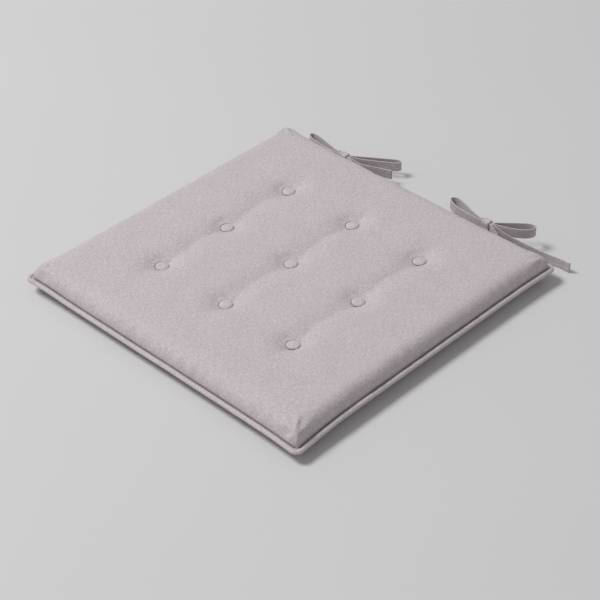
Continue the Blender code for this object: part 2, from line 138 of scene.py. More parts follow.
# %% A material that is built step by step
class Finish:
    """A Principled material; node() adds any node and returns its first output."""

    def __init__(self, name, **fixed):
        self.material = bpy.data.materials.new(name)
        self.material.use_nodes = True
        self.tree = self.material.node_tree
        self.surface = self.tree.nodes["Principled BSDF"]
        for socket, value in fixed.items():
            self.surface.inputs[socket.replace("_", " ")].default_value = value

    def feed(self, socket, value):
        if isinstance(value, Signal):
            self.tree.links.new(value.socket, socket)
        elif socket.type == "RGBA":
            socket.default_value = (*value, 1.0)
        else:
            socket.default_value = value

    def node(self, kind, settings, inputs, output=0):
        made = self.tree.nodes.new("ShaderNode" + kind)
        for name, value in settings.items():
            setattr(made, name, value)
        for name, value in inputs.items():
            self.feed(made.inputs[name], value)
        return Signal(self, made, output)

    def place(self, kind):
        """Three numbers of a position: of the object, or of its cloth map, in millimetres."""
        if kind == "object":
            source = self.node("TexCoord", {}, {}).output("Object")
        else:
            source = self.node("UVMap", {"uv_map": kind}, {})
        parts = self.node("SeparateXYZ", {}, {0: source})
        return parts * 1000.0, parts.output("Y") * 1000.0, parts.output("Z") * 1000.0

    def at(self, x, y, z=0.0):
        return self.node("CombineXYZ", {}, {0: x, 1: y, 2: z})

    def speckle(self, vector, scale=1.0, detail=2.0, roughness=0.5):
        return self.node("TexNoise", {"noise_dimensions": "3D"}, {
            "Vector": vector, "Scale": scale, "Detail": detail, "Roughness": roughness,
        })

    def blend(self, share, first, second):
        return self.node("Mix", {"data_type": "RGBA"}, {0: share, 6: first, 7: second}, 2)

    def shade(self, colour, share):
        """A colour made darker or lighter by a share around 1."""
        scaled = self.node("VectorMath", {"operation": "SCALE"}, {0: colour, "Scale": share})
        return scaled

    def bump(self, height, strength, distance):
        bumped = self.node("Bump", {}, {
            "Strength": strength, "Distance": distance, "Height": height,
        })
        self.feed(self.surface.inputs["Normal"], bumped)

    def colour(self, value):
        self.feed(self.surface.inputs["Base Color"], value)

    def roughness(self, value):
        self.feed(self.surface.inputs["Roughness"], value)

# %% [markdown]
# ## The cloth
# The cover is a plain weave of two yarns: a warm rose-grey warp and a cooler weft, each with
# uneven dyeing along its length, which gives the heathered look. In a plain weave the product of
# two sines is positive where the warp lies on top and negative where the weft does, so one
# product drives both the colour and the relief. The map is in metres of cloth, so every piece,
# even the piping cut on the bias, has threads of one real size.

# %% Cloth materials
THREAD = 0.66                      # millimetres from one thread to the next
WARM = (0.610, 0.500, 0.525)
COOL = (0.545, 0.560, 0.570)


def woven(name, bias=0.0, painted_light_scale=1.0, relief=0.35):
    cloth = Finish(name, Roughness=0.88, Specular_IOR_Level=0.25, Sheen_Weight=0.12,
                   Sheen_Roughness=0.45)
    along, across, _ = cloth.place("cloth")
    u = math.cos(bias) * along + math.sin(bias) * across
    v = math.cos(bias) * across - math.sin(bias) * along
    drift = cloth.speckle(cloth.at(u, v), 0.12) - 0.5
    u = u + drift * 0.5
    v = v - drift * 0.5
    lattice = (u * (math.pi / THREAD)).sine() * (v * (math.pi / THREAD)).sine()
    warp_on_top = (lattice * 2.5 + 0.5).clipped()
    warp_streak = cloth.speckle(cloth.at(u * 1.6, v * 0.11), 1.0)
    weft_streak = cloth.speckle(cloth.at(u * 0.11, v * 1.6, 7.0), 1.0)
    cloud = cloth.speckle(cloth.at(u, v, 3.0), 0.03)
    warp_slub = cloth.speckle(cloth.at(u * 0.9, v * 0.30, 11.0), 1.0)
    weft_slub = cloth.speckle(cloth.at(u * 0.30, v * 0.9, 17.0), 1.0)
    warp = cloth.shade(WARM, (warp_streak - 0.5) * 0.75 + 1.0)
    weft = cloth.shade(COOL, (weft_streak - 0.5) * 0.75 + 1.0)
    heather = (warp_on_top * 0.5 + 0.25 + (warp_slub - weft_slub) * 3.0).clipped()
    dyed = cloth.blend(heather, weft, warp)
    # The colour is darker in the gaps between threads and lighter on their crowns, from the same
    # map as the relief: painted shade in the weave's gaps.
    depth = lattice.size() ** 0.6
    slubs = (warp_slub + weft_slub - 1.0) * 0.60
    # painted_light_scale darkens or lightens the whole cloth: painted shade below 1, painted light
    # above 1.
    cloth.colour(cloth.shade(dyed, (depth * 0.16 + 0.92 + (cloud - 0.5) * 0.10 + slubs) * painted_light_scale))
    slub = (warp_streak + weft_streak - 1.0) * 0.5
    cloth.bump(depth + slub, relief, 0.0003)
    cloth.roughness((cloud - 0.5) * 0.1 + 0.88)
    return cloth.material


PANEL_CLOTH = woven("heathered cover cloth")
PIPING_CLOTH = woven("cover cloth on the bias", bias=math.pi / 4)
# Painted shade: the tie cloth is made 3 % darker than the cover it is cut from.
TIE_CLOTH = woven("folded tie cloth", painted_light_scale=0.97)
# Painted light: the cloth over the buttons is made 3 % lighter than the cover.
BUTTON_CLOTH = woven("cover cloth over a button", painted_light_scale=1.03, relief=0.3)
print("cloth thread pitch in mm:", THREAD)

# %% [markdown]
# ## Twine, cord, foam, metal and plastic
# The pieces inside the pad hardly show, yet each keeps the finish of what it is: twisted
# strands read as slanting ridges, foam as small open cells, a pressed shell as fine scratches.

# %% Materials of the inner pieces
def twisted(name, colour, pitch):
    """Twisted strands: ridges that slant round the piece, with painted shade in the grooves
    between them.
    """
    strand = Finish(name, Roughness=0.85, Specular_IOR_Level=0.2, Sheen_Weight=0.1)
    x, y, z = strand.place("object")
    ridge_and_groove_shade = ((x + y + z) * (2.0 * math.pi / pitch)).sine() * 0.5 + 0.5
    fibre = strand.speckle(strand.at(x, y, z), 3.0, 3.0)
    # The colour is lighter on each ridge and darker in the grooves: painted shade.
    strand.colour(strand.shade(colour, ridge_and_groove_shade * 0.25 + fibre * 0.2 + 0.68))
    strand.bump(ridge_and_groove_shade + fibre * 0.3, 0.5, 0.0003)
    return strand.material


def open_cells(name, colour):
    foam = Finish(name, Roughness=0.95, Specular_IOR_Level=0.15)
    x, y, z = foam.place("object")
    cells = foam.node("TexVoronoi", {"feature": "F1"}, {
        "Vector": foam.at(x, y, z), "Scale": 1.1,
    })
    hollow = (1.0 - cells).clipped()
    stain = foam.speckle(foam.at(x, y, z), 0.02)
    # The colour is lighter where the cell relief stands high and darker where it sinks: painted
    # shade between the cells.
    foam.colour(foam.shade(colour, hollow * 0.2 + stain * 0.15 + 0.75))
    foam.bump(hollow, 0.6, 0.0006)
    return foam.material


def pressed_metal(name, colour):
    metal = Finish(name, Metallic=1.0, Roughness=0.35)
    x, y, z = metal.place("object")
    scratch = metal.speckle(metal.at(x * 8.0, y * 0.6, z * 0.6), 1.0, 4.0)
    metal.colour(metal.shade(colour, scratch * 0.2 + 0.9))
    metal.roughness(scratch * 0.3 + 0.2)
    metal.bump(scratch, 0.15, 0.0001)
    return metal.material


def moulded(name, colour):
    plastic = Finish(name, Roughness=0.35, Coat_Weight=0.1)
    x, y, z = plastic.place("object")
    haze = plastic.speckle(plastic.at(x, y, z), 0.25, 3.0)
    grain = plastic.speckle(plastic.at(x, y, z), 4.0)
    plastic.colour(plastic.shade(colour, haze * 0.12 + 0.94))
    plastic.roughness(haze * 0.15 + grain * 0.1 + 0.25)
    plastic.bump(grain, 0.12, 0.0001)
    return plastic.material


FOAM = open_cells("polyurethane foam", (0.86, 0.82, 0.70))
COTTON = twisted("twisted cotton filler", (0.82, 0.80, 0.75), 2.2)
TWINE = twisted("waxed tufting twine", (0.62, 0.57, 0.57), 0.7)
SEWING = twisted("sewing thread", (0.50, 0.45, 0.46), 0.5)
STEEL = pressed_metal("pressed button shell", (0.66, 0.66, 0.68))
PLASTIC = moulded("moulded backing button", (0.72, 0.69, 0.69))

# %% [markdown]
# ## Finishing a piece
# Each piece is a bmesh until it is done. This helper turns it into an object at the origin,
# smooth shaded, hangs it on the empty of the body it rides on, and hides the solids it stands for.

# %% Helpers for pieces
def shown(name, bm, material, body, replaces=()):
    mesh = bpy.data.meshes.new(name)
    bm.to_mesh(mesh)
    bm.free()
    mesh.materials.append(material)
    mesh.shade_smooth()
    piece = bpy.data.objects.new(name, mesh)
    bpy.context.scene.collection.objects.link(piece)
    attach(piece, body)
    if replaces:
        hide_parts(*replaces)
    return piece


def repaint(names, material):
    for name in names:
        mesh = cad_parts[name].data
        mesh.materials.clear()
        mesh.materials.append(material)


def mapped(bm, place):
    """Lays the cloth map: place gives a vertex's two numbers, in metres of cloth."""
    layer = bm.loops.layers.uv.get("cloth") or bm.loops.layers.uv.new("cloth")
    for face in bm.faces:
        for loop in face.loops:
            loop[layer].uv = place(loop.vert)


def middle_of(node):
    low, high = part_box(node)
    return (low + high) / 2.0

# %% [markdown]
# ## The ties
# Each bow is two ribbons, folded from a strip of the cover cloth, stitched along one edge and
# hemmed at the end. A ribbon on edge keeps its loop open, so the loops stand up from the floor.
# The ribbons follow the frame's own routes, because the loops and ends must lie where the solid
# ones do. A route's point gives across, outward and up from the knot's middle, and the twist.

# %% Routes of the ties
EDGE_OF_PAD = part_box("piping_cover")[1].y - 0.003
LEFT_KNOT = Vector((-0.113, EDGE_OF_PAD + 0.009175, 0.0145))
RIGHT_KNOT = Vector((0.104, EDGE_OF_PAD + 0.009175, 0.022))
TIE_WIDTH = 0.012
TIE_THICKNESS = 0.0014

LEFT_TIE_A = [
    (0.016, -0.0047, 0.0, 0), (0.010, -0.0034, 0.0, 0), (0.005, -0.00262, 0.0, 0),
    (-0.005, -0.00262, 0.0, 0), (-0.018, -0.0034, 0.0, 0), (-0.034, -0.0034, 0.0005, 0),
    (-0.048, -0.0022, 0.001, 0), (-0.057, 0.0010, 0.001, 0), (-0.060, 0.0042, 0.001, 0),
    (-0.0575, 0.0072, 0.001, 0), (-0.048, 0.0072, 0.001, 0), (-0.034, 0.0046, 0.0005, 0),
    (-0.020, 0.0018, 0.0, 0), (-0.010, -0.0001, 0.0, 0), (-0.005, -0.00087, 0.0, 0),
    (0.005, -0.00087, 0.0, 0), (0.014, -0.0012, -0.0005, 0), (0.026, -0.0006, -0.001, 0),
    (0.040, 0.0040, -0.001, 0), (0.052, 0.0090, -0.001, 0), (0.063, 0.0130, -0.001, 0),
]
LEFT_TIE_B = [
    (-0.004, 0.00087, 0.0, 0), (0.005, 0.00087, 0.0, 0), (0.014, 0.0030, 0.0, 0),
    (0.028, 0.0100, 0.0, 0), (0.042, 0.0185, 0.0, 0), (0.053, 0.0255, 0.0, 0),
    (0.0585, 0.0300, 0.0, 0), (0.0590, 0.0340, 0.0, 0), (0.0545, 0.0345, 0.0, 0),
    (0.044, 0.0280, 0.0, 0), (0.030, 0.0185, 0.0, 0), (0.016, 0.0090, 0.0, 0),
    (0.009, 0.0043, 0.0, 0), (0.0065, 0.0028, 0.0, 0), (0.005, 0.00262, 0.0, 0),
    (0.0, 0.00262, 0.0, 0), (-0.005, 0.00262, 0.0, 0), (-0.007, 0.0028, -0.0003, 2),
    (-0.012, 0.0036, -0.002, 12), (-0.022, 0.0052, -0.007, 50), (-0.032, 0.0050, -0.0117, 84),
    (-0.045, 0.0035, -0.0133, 90), (-0.060, 0.0028, -0.0133, 90), (-0.078, 0.0025, -0.0133, 90),
]
RIGHT_TIE_A = [
    (0.0175, -0.0047, -0.005, 0), (0.0125, -0.0038, -0.0032, 0), (0.0085, -0.0030, -0.0009, 0),
    (0.005, -0.00262, 0.0, 0), (-0.005, -0.00262, 0.0, 0), (-0.015, -0.0032, 0.0, 0),
    (-0.030, -0.0030, 0.0005, 0),
    (-0.044, -0.0015, 0.001, 0), (-0.054, 0.0020, 0.001, 0), (-0.0585, 0.0065, 0.001, 0),
    (-0.056, 0.0105, 0.001, 0), (-0.048, 0.0110, 0.001, 0), (-0.034, 0.0068, 0.0005, 0),
    (-0.020, 0.0025, 0.0, 0), (-0.010, 0.0, 0.0, 0), (-0.005, -0.00087, 0.0, 0),
    (0.005, -0.00087, 0.0, 0), (0.009, -0.0006, -0.0004, 0), (0.0145, 0.0003, -0.0025, 0),
    (0.023, 0.0021, -0.0062, 0),
    (0.035, 0.0058, -0.010, 0), (0.050, 0.0090, -0.0125, 0), (0.070, 0.0125, -0.0146, 0),
    (0.088, 0.0155, -0.0152, 0), (0.1035, 0.0165, -0.0152, 0),
]
RIGHT_TIE_B = [
    (-0.004, 0.00087, 0.0, 0), (0.005, 0.00087, 0.0, 0), (0.012, 0.0020, 0.0, 0),
    (0.022, 0.0055, 0.0, 0), (0.034, 0.0110, 0.0, 0), (0.043, 0.0180, 0.0, 0),
    (0.0465, 0.0250, 0.0, 0), (0.0445, 0.0295, 0.0, 0), (0.0385, 0.0290, 0.0, 0),
    (0.030, 0.0230, 0.0, 0), (0.020, 0.0145, 0.0, 0), (0.011, 0.0065, 0.0, 0),
    (0.0068, 0.0029, 0.0, 0), (0.005, 0.00262, 0.0, 0), (0.0, 0.00262, 0.0, 0),
    (-0.005, 0.00262, 0.0, 0), (-0.007, 0.0028, -0.0005, 2), (-0.012, 0.0036, -0.004, 12),
    (-0.022, 0.0056, -0.012, 50), (-0.034, 0.0052, -0.0190, 84), (-0.048, 0.0038, -0.0208, 90),
    (-0.064, 0.0030, -0.0208, 90), (-0.082, 0.0026, -0.0208, 90),
]

# %% [markdown]
# ## From a route to a frame
# A curve object could sweep a flat ribbon, but it gives no thread direction and no place for the
# stitches. Here the route becomes a list of frames, one every millimetre and a half: a place,
# the direction along, the direction of the ribbon's width, and the distance travelled.

# %% Frames along a route
def smooth_route(route, steps=6):
    """Points read from a smooth curve through a route's own points."""
    points = []
    for index in range(len(route) - 1):
        before = Vector(route[max(index - 1, 0)])
        start = Vector(route[index])
        end = Vector(route[index + 1])
        after = Vector(route[min(index + 2, len(route) - 1)])
        for step in range(steps):
            t = step / steps
            points.append(0.5 * (
                2.0 * start
                + (end - before) * t
                + (2.0 * before - 5.0 * start + 4.0 * end - after) * t ** 2
                + (3.0 * start - before - 3.0 * end + after) * t ** 3
            ))
    points.append(Vector(route[-1]))
    return points


def ribbon_frames(route, knot):
    """Frames as (place, along, width, normal, distance)."""
    points = smooth_route(route)
    places = [knot + Vector(point[:3]) for point in points]
    frames = []
    travelled = 0.0
    for index, place in enumerate(places):
        ahead = places[min(index + 1, len(places) - 1)]
        behind = places[max(index - 1, 0)]
        along = (ahead - behind).normalized()
        if index:
            travelled += (place - places[index - 1]).length
        sideways = along.cross(Vector((0.0, 0.0, 1.0))).normalized()
        upright = sideways.cross(along)
        turn = Matrix.Rotation(math.radians(points[index][3]), 3, along)
        frames.append((place, along, turn @ upright, turn @ sideways, travelled))
    return frames


def as_matrix(frame_of_ribbon, width=1.0, thickness=1.0):
    place, along, across, normal, _ = frame_of_ribbon
    turned = Matrix((across * width, normal * thickness, along)).transposed().to_4x4()
    return Matrix.Translation(place) @ turned

# %% [markdown]
# ## A ribbon's section
# The strip is folded in half with its raw edges inside, so one edge is a full soft fold and the
# other is two folds pressed together and sewn. The section is a ring of points: fat at the fold,
# pinched along the stitch line. The ring is extruded from frame to frame.

# %% Sweep a section along frames
HALF_WIDTH = TIE_WIDTH / 2.0
HALF_THICK = TIE_THICKNESS / 2.0
STITCH_LINE = 0.0043               # from the ribbon's middle to its row of stitches
FOLD_SHAPE = [                     # across, and share of half the thickness
    (-1.0, 0.0), (-0.97, 0.62), (-0.90, 0.94), (-0.74, 1.0), (-0.40, 0.90), (0.0, 0.84),
    (0.40, 0.90), (0.60, 0.92), (0.68, 0.80), (0.717, 0.62), (0.755, 0.80), (0.84, 0.92),
    (0.93, 0.86), (0.98, 0.45),
]


def ribbon_ring(bm):
    """One closed ring of the ribbon's section, in its own frame: x across, y through."""
    upper = [(x * HALF_WIDTH, y * HALF_THICK) for x, y in FOLD_SHAPE] + [(HALF_WIDTH, 0.0)]
    lower = [(x, -y) for x, y in upper[-2:0:-1]]
    verts = [bm.verts.new((x, y, 0.0)) for x, y in upper + lower]
    edges = [bm.edges.new((verts[i - 1], verts[i])) for i in range(len(verts))]
    return verts, edges


def sweep(bm, frames, ring, width_at=None, thick_at=None):
    """Extrudes a ring along the frames, closes both ends and returns each vertex's distance."""
    verts, edges = ring
    across = {vert: vert.co.x for vert in verts}
    travelled = {}
    flat = [vert.co.copy() for vert in verts]
    order = list(verts)
    for index, step in enumerate(frames):
        if index:
            made = bmesh.ops.extrude_edge_only(bm, edges=edges)["geom"]
            edges = [item for item in made if isinstance(item, bmesh.types.BMEdge)
                     and all(vert not in travelled for vert in item.verts)]
            following = []
            fresh = {item for item in made if isinstance(item, bmesh.types.BMVert)}
            for vert in order:
                pair = next(edge.other_vert(vert) for edge in vert.link_edges
                            if edge.other_vert(vert) in fresh)
                across[pair] = across[vert]
                following.append(pair)
            order = following
        width = width_at(step[4]) if width_at else 1.0
        thick = thick_at(step[4]) if thick_at else 1.0
        matrix = as_matrix(step, width, thick)
        for vert, place in zip(order, flat):
            vert.co = matrix @ place
            travelled[vert] = step[4]
    bmesh.ops.holes_fill(bm, edges=bm.edges, sides=len(flat))
    bmesh.ops.recalc_face_normals(bm, faces=bm.faces)
    return across, travelled

# %% [markdown]
# ## Stitches
# A stitch is a short thread pressed into the cloth. Drawing it in the material alone would
# vanish from the side, so each is a tiny round body of twenty faces, laid along the ribbon and
# sunk by half. All the stitches of a ribbon are one piece.

# %% Rows of stitches
STITCH_PITCH = 0.0028
STITCH = Vector((0.00022, 0.00020, 0.00095))   # half sizes: across, through, along


def add_stitch(bm, matrix, half=STITCH):
    bmesh.ops.create_icosphere(
        bm, subdivisions=1, radius=1.0, matrix=matrix @ Matrix.Diagonal((*half, 1.0))
    )


def stitch_ribbon(bm, frames, hem):
    """A row along the sewn edge on both faces, and a row across the hem."""
    length = frames[-1][4]
    due = STITCH_PITCH
    for step in frames:
        if step[4] < due:
            continue
        due = step[4] + STITCH_PITCH
        for face in (-1.0, 1.0):
            add_stitch(bm, as_matrix(step) @ Matrix.Translation(
                (STITCH_LINE, face * HALF_THICK * 0.62, 0.0)
            ))
    across_hem = min(frames, key=lambda step: abs(length - hem - step[4]))
    for place in range(-2, 3):
        for face in (-1.0, 1.0):
            add_stitch(bm, as_matrix(across_hem) @ Matrix.Translation(
                (place * 0.0023, face * HALF_THICK * 1.32, 0.0)
            ) @ Matrix.Rotation(math.pi / 2.0, 4, "Y"))


# %% Four ribbons
HEM = 0.0085                       # turned-in end of a ribbon


def make_ribbon(side, letter, route, knot, exit_side):
    frames = ribbon_frames(route, knot)
    length = frames[-1][4]

    def thick_at(distance):
        into_hem = (distance - (length - HEM)) / 0.0012
        return 1.0 + 0.45 * min(1.0, max(0.0, into_hem))

    def width_at(distance):
        return 1.0 + 0.02 * noise.noise(Vector((distance * 60.0, ord(letter), len(side))))

    bm = bmesh.new()
    across, travelled = sweep(bm, frames, ribbon_ring(bm), width_at, thick_at)
    mapped(bm, lambda vert: (travelled[vert], across[vert]))
    body = f"{side}_tie"
    ribbon = shown(f"{side}_ribbon_{letter}", bm, TIE_CLOTH, body,
                   (f"{side}_tie_strap_{letter}",))
    thread = bmesh.new()
    stitch_ribbon(thread, frames, HEM)
    stitches = shown(f"{side}_ribbon_{letter}_stitches", thread, SEWING, body)
    path = [step[0] for step in frames][::3] + [frames[-1][0]]
    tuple(exit_side(frames))
    print(ribbon.name, "length in mm:", round(1000 * length))
    return ribbon


def first_place(frames):
    return frames[0][0]


for side, knot, routes in (
    ("left", LEFT_KNOT, (LEFT_TIE_A, LEFT_TIE_B)),
    ("right", RIGHT_KNOT, (RIGHT_TIE_A, RIGHT_TIE_B)),
):
    for letter, route in zip("ab", routes):
        make_ribbon(side, letter, route, knot, first_place)

# %% [markdown]
# ## Knots
# The middle of a bow is one turn of ribbon pulled tight round the four layers. It is a strip
# bent into a flattened ring: narrow where it is pulled in, with soft folds running round it, and
# a wall given by Solidify once the doubled end is merged.

# %% Two knots and their ends at the seam
KNOT_WIDTH = 0.0095
KNOT_NEAR = 0.004375               # from the knot's middle to the wall's middle, towards the pad
KNOT_FAR = 0.003825
KNOT_HALF_HEIGHT = 0.0070
WALL = 0.0013


def make_knot(side, knot, lean):
    turns, strands = 56, 12
    half_y = (KNOT_NEAR + KNOT_FAR) / 2.0
    centre_y = (KNOT_FAR - KNOT_NEAR) / 2.0
    bm = bmesh.new()
    bmesh.ops.create_grid(bm, x_segments=strands, y_segments=turns, size=1.0)
    cloth_place = {}
    for vert in bm.verts:
        share = (vert.co.x + 1.0) / 2.0
        angle = vert.co.y * math.pi
        cloth_place[vert] = (angle * 0.0046, (share - 0.5) * KNOT_WIDTH)
        y = abs(math.cos(angle)) ** 0.42 * math.copysign(half_y, math.cos(angle))
        z = abs(math.sin(angle)) ** 0.42 * math.copysign(KNOT_HALF_HEIGHT, math.sin(angle))
        pull = 1.0 - 0.10 * math.cos(angle) ** 2
        fold = math.sin(share * math.pi * 3.0 + angle * 0.5) * 0.00022
        edge = 1.0 - (2.0 * share - 1.0) ** 4 * 0.05
        x = (share - 0.5) * KNOT_WIDTH * pull + lean * z
        out = 1.0 + fold / half_y
        vert.co = knot + Vector((x, centre_y + y * out * edge, z * (out * 0.5 + 0.5) * edge))
    mapped(bm, cloth_place.get)
    bmesh.ops.remove_doubles(bm, verts=bm.verts, dist=0.00002)
    bmesh.ops.recalc_face_normals(bm, faces=bm.faces)
    band = shown(f"{side}_knot", bm, TIE_CLOTH, f"{side}_tie")
    wall = band.modifiers.new("Wall", "SOLIDIFY")
    wall.thickness = WALL
    wall.offset = 0.0
    soft = band.modifiers.new("Soft", "SUBSURF")
    soft.levels = soft.render_levels = 1
    return band


def make_seam_end(side, knot):
    """The short ends of both ribbons, from the seam to the knot, as one folded tab."""
    start = EDGE_OF_PAD + 0.00345
    end = knot.y - KNOT_NEAR
    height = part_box("piping_cover")[0].z + 0.003 - 0.0003
    bm = bmesh.new()
    bmesh.ops.create_cube(bm, size=1.0, matrix=Matrix.Translation(
        (knot.x, (start + end) / 2.0, height)
    ) @ Matrix.Diagonal((KNOT_WIDTH, end - start, TIE_THICKNESS, 1.0)))
    bmesh.ops.bevel(bm, geom=bm.edges, offset=0.0004, offset_type="OFFSET", segments=3,
                    profile=0.5, affect="EDGES", material=-1)
    mapped(bm, lambda vert: (vert.co.y, vert.co.x))
    return shown(f"{side}_seam_end", bm, TIE_CLOTH, f"{side}_tie")


for side, knot, lean in (("left", LEFT_KNOT, 0.05), ("right", RIGHT_KNOT, -0.08)):
    make_knot(side, knot, lean)
    make_seam_end(side, knot)
print("knots are", round(2000 * KNOT_HALF_HEIGHT), "mm high")

# %% [markdown]
# ## The cushion's form
# A pad is two flat panels sewn together round the edge and drawn in by the tufts. Each panel
# starts as a fine grid of cloth. The edge rolls over in a quarter round; at the four corners the
# grid's corner is eased into an arc. The same grid gives the cloth map, because a row of the
# grid is a row of the real cloth.

# %% Sizes of the panels
TOP_LOW, TOP_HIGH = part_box("top_panel")
UNDER_LOW, UNDER_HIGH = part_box("bottom_panel")
HALF = Vector((TOP_HIGH.x, TOP_HIGH.y))
SEAM_HEIGHT = (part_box("piping_cover")[0].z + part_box("piping_cover")[1].z) / 2.0
SEAM_GAP = 0.0009                  # from the seam's middle height to the edge of a panel
ROLL = 0.0125                      # how far in from the outline the edge starts to roll over
BOXY = 2.5                         # 2 is an elliptic roll, and more is squarer
CORNER = 0.0050
CELLS = 88   # cells across a panel before it is subdivided

SPOTS = [f"{row}_{column}" for row in ("front", "middle", "back")
         for column in ("left", "centre", "right")]
TUFTS = np.array([middle_of(f"button_cover_{spot}")[:2] for spot in SPOTS])
ROLL_ARC = 0.0245                  # cloth used by one rolled edge
CLOTH_HALF = HALF.x - ROLL + ROLL_ARC
print("tufts are", round(1000 * (TUFTS[1][0] - TUFTS[0][0]), 1), "mm apart")


# %% Where a point of cloth lies
def along_cloth(distance, half):
    """Plan position of a point of cloth that lies this far from the panel's middle line."""
    flat = half - ROLL
    over = max(0.0, abs(distance) - flat)
    return math.copysign(
        min(abs(distance), flat) + ROLL * math.sin(over / ROLL_ARC * math.pi / 2.0), distance
    )


def eased_corner(x, y):
    across = (abs(x) - (HALF.x - CORNER)) / CORNER
    along = (abs(y) - (HALF.y - CORNER)) / CORNER
    if across <= 0.0 or along <= 0.0:
        return x, y
    new_x = HALF.x - CORNER + CORNER * across * math.sqrt(1.0 - along * along / 2.0)
    new_y = HALF.y - CORNER + CORNER * along * math.sqrt(1.0 - across * across / 2.0)
    return math.copysign(new_x, x), math.copysign(new_y, y)


def inset(x, y):
    """Distance in from the pad's outline."""
    across = np.abs(x) - (HALF.x - CORNER)
    along = np.abs(y) - (HALF.y - CORNER)
    outside = np.hypot(np.maximum(across, 0.0), np.maximum(along, 0.0))
    return CORNER - outside - np.minimum(np.maximum(across, along), 0.0)


def rise(x, y):
    """Share of its full height that a panel has: a quarter round, then level."""
    share = np.clip(1.0 - inset(x, y) / ROLL, 0.0, 1.0)
    return (1.0 - share ** BOXY) ** (1.0 / BOXY)


def drawn_in(x, y, depth, radius):
    """How far the tufts pull a panel in."""
    away = np.min([np.hypot(x - tuft[0], y - tuft[1]) for tuft in TUFTS], axis=0)
    return np.where(away < radius, depth * (1.0 + np.cos(np.pi * away / radius)) / 2.0, 0.0)


# %% [markdown]
# ## Blowing the cover up
# Cloth over foam is in tension between the tufts, and that is hard to draw by hand. So both
# panels are joined at the seam into one closed skin, held still at the seam, at the tufts and
# underneath, and blown up for twenty frames without gravity. A cap keeps every point close to
# where the foam would let it go.

# %% One closed skin of two panels
UNDER_FACE, TOP_FACE = 0, 1


def skin_of_cushion():
    skin = bmesh.new()
    layer = skin.loops.layers.uv.new("cloth")
    for sign, tag in ((-1.0, UNDER_FACE), (1.0, TOP_FACE)):
        panel = bmesh.new()
        bmesh.ops.create_grid(panel, x_segments=CELLS, y_segments=CELLS, size=CLOTH_HALF)
        cloth = {vert.index: vert.co.xy.copy() for vert in panel.verts}
        uv = panel.loops.layers.uv.new("cloth")
        for face in panel.faces:
            face.material_index = tag
            for loop in face.loops:
                loop[uv].uv = cloth[loop.vert.index]
        for vert in panel.verts:
            x, y = eased_corner(along_cloth(vert.co.x, HALF.x), along_cloth(vert.co.y, HALF.y))
            height = sign * (TOP_HIGH.z - SEAM_HEIGHT if sign > 0 else SEAM_HEIGHT) * rise(x, y)
            pull = drawn_in(x, y, 0.0045, 0.030) if sign < 0 else 0.0
            vert.co = Vector((x, y, SEAM_HEIGHT + height - sign * pull))
        if sign < 0:
            bmesh.ops.reverse_faces(panel, faces=panel.faces)
        carried = bpy.data.meshes.new("panel")
        panel.to_mesh(carried)
        panel.free()
        skin.from_mesh(carried)
        bpy.data.meshes.remove(carried)
    bmesh.ops.remove_doubles(skin, verts=skin.verts, dist=0.00002)
    return skin


def coordinates(mesh):
    flat = np.empty(len(mesh.vertices) * 3)
    mesh.vertices.foreach_get("co", flat)
    return flat.reshape(-1, 3)


def move_to(mesh, places):
    mesh.vertices.foreach_set("co", places.ravel())
    mesh.update()


# %% Cloth simulation, capped and applied
PRESSURE = 4.0
LAST_FRAME = 20
CAP = 0.0012


def blow_up(mesh):
    still = coordinates(mesh)
    blown = bpy.data.objects.new("blown cushion", mesh)
    bpy.context.scene.collection.objects.link(blown)
    held = blown.vertex_groups.new(name="held")
    away = np.min([np.hypot(still[:, 0] - t[0], still[:, 1] - t[1]) for t in TUFTS], axis=0)
    fixed = (inset(still[:, 0], still[:, 1]) < 0.0006) | (away < 0.006)
    fixed |= (still[:, 2] < SEAM_HEIGHT) & (inset(still[:, 0], still[:, 1]) > 0.010)
    held.add([int(index) for index in np.flatnonzero(fixed)], 1.0, "REPLACE")
    cloth = blown.modifiers.new("Cloth", "CLOTH")
    cloth.settings.vertex_group_mass = "held"
    cloth.settings.use_pressure = True
    cloth.settings.uniform_pressure_force = PRESSURE
    cloth.settings.effector_weights.gravity = 0.0
    cloth.settings.quality = 6
    cloth.settings.tension_stiffness = 25.0
    cloth.settings.compression_stiffness = 25.0
    cloth.settings.bending_stiffness = 2.0
    cloth.point_cache.frame_start = 1
    cloth.point_cache.frame_end = LAST_FRAME
    for frame_number in range(1, LAST_FRAME + 1):
        bpy.context.scene.frame_set(frame_number)
    settled = blown.evaluated_get(bpy.context.evaluated_depsgraph_get())
    moved = coordinates(settled.data) - still
    ends = np.array([edge.vertices[:] for edge in mesh.edges])
    for _ in range(12):
        total = np.zeros_like(moved)
        count = np.zeros((len(moved), 1))
        for one, other in ((0, 1), (1, 0)):
            np.add.at(total, ends[:, one], moved[ends[:, other]])
            np.add.at(count, ends[:, one], 1.0)
        moved = np.where(fixed[:, None], 0.0, 0.5 * moved + 0.5 * total / count)
    bpy.data.objects.remove(blown)
    bpy.context.scene.frame_set(1)
    far = np.linalg.norm(moved, axis=1, keepdims=True)
    print("cloth moved up to", round(1000 * far.max(), 1), "mm, mean", round(1000 * far.mean(), 2))
    return still + moved * (CAP * np.tanh(far / CAP) / np.maximum(far, 1e-9))


skin_mesh = bpy.data.meshes.new("skin")
skin_bm = skin_of_cushion()
skin_bm.to_mesh(skin_mesh)
skin_bm.free()
move_to(skin_mesh, blow_up(skin_mesh))

# %% [markdown]
# ## Valleys, creases and puckers
# Foam folds more easily one way than the other, so the tufts of each column are joined by a
# valley that wanders a little between them. Close to a button the cloth gathers into a crescent.
# Along the seam the cloth is eased in, which leaves small puckers that die out up the side, and
# each corner has a few folds that fan out from the turn of the piping.

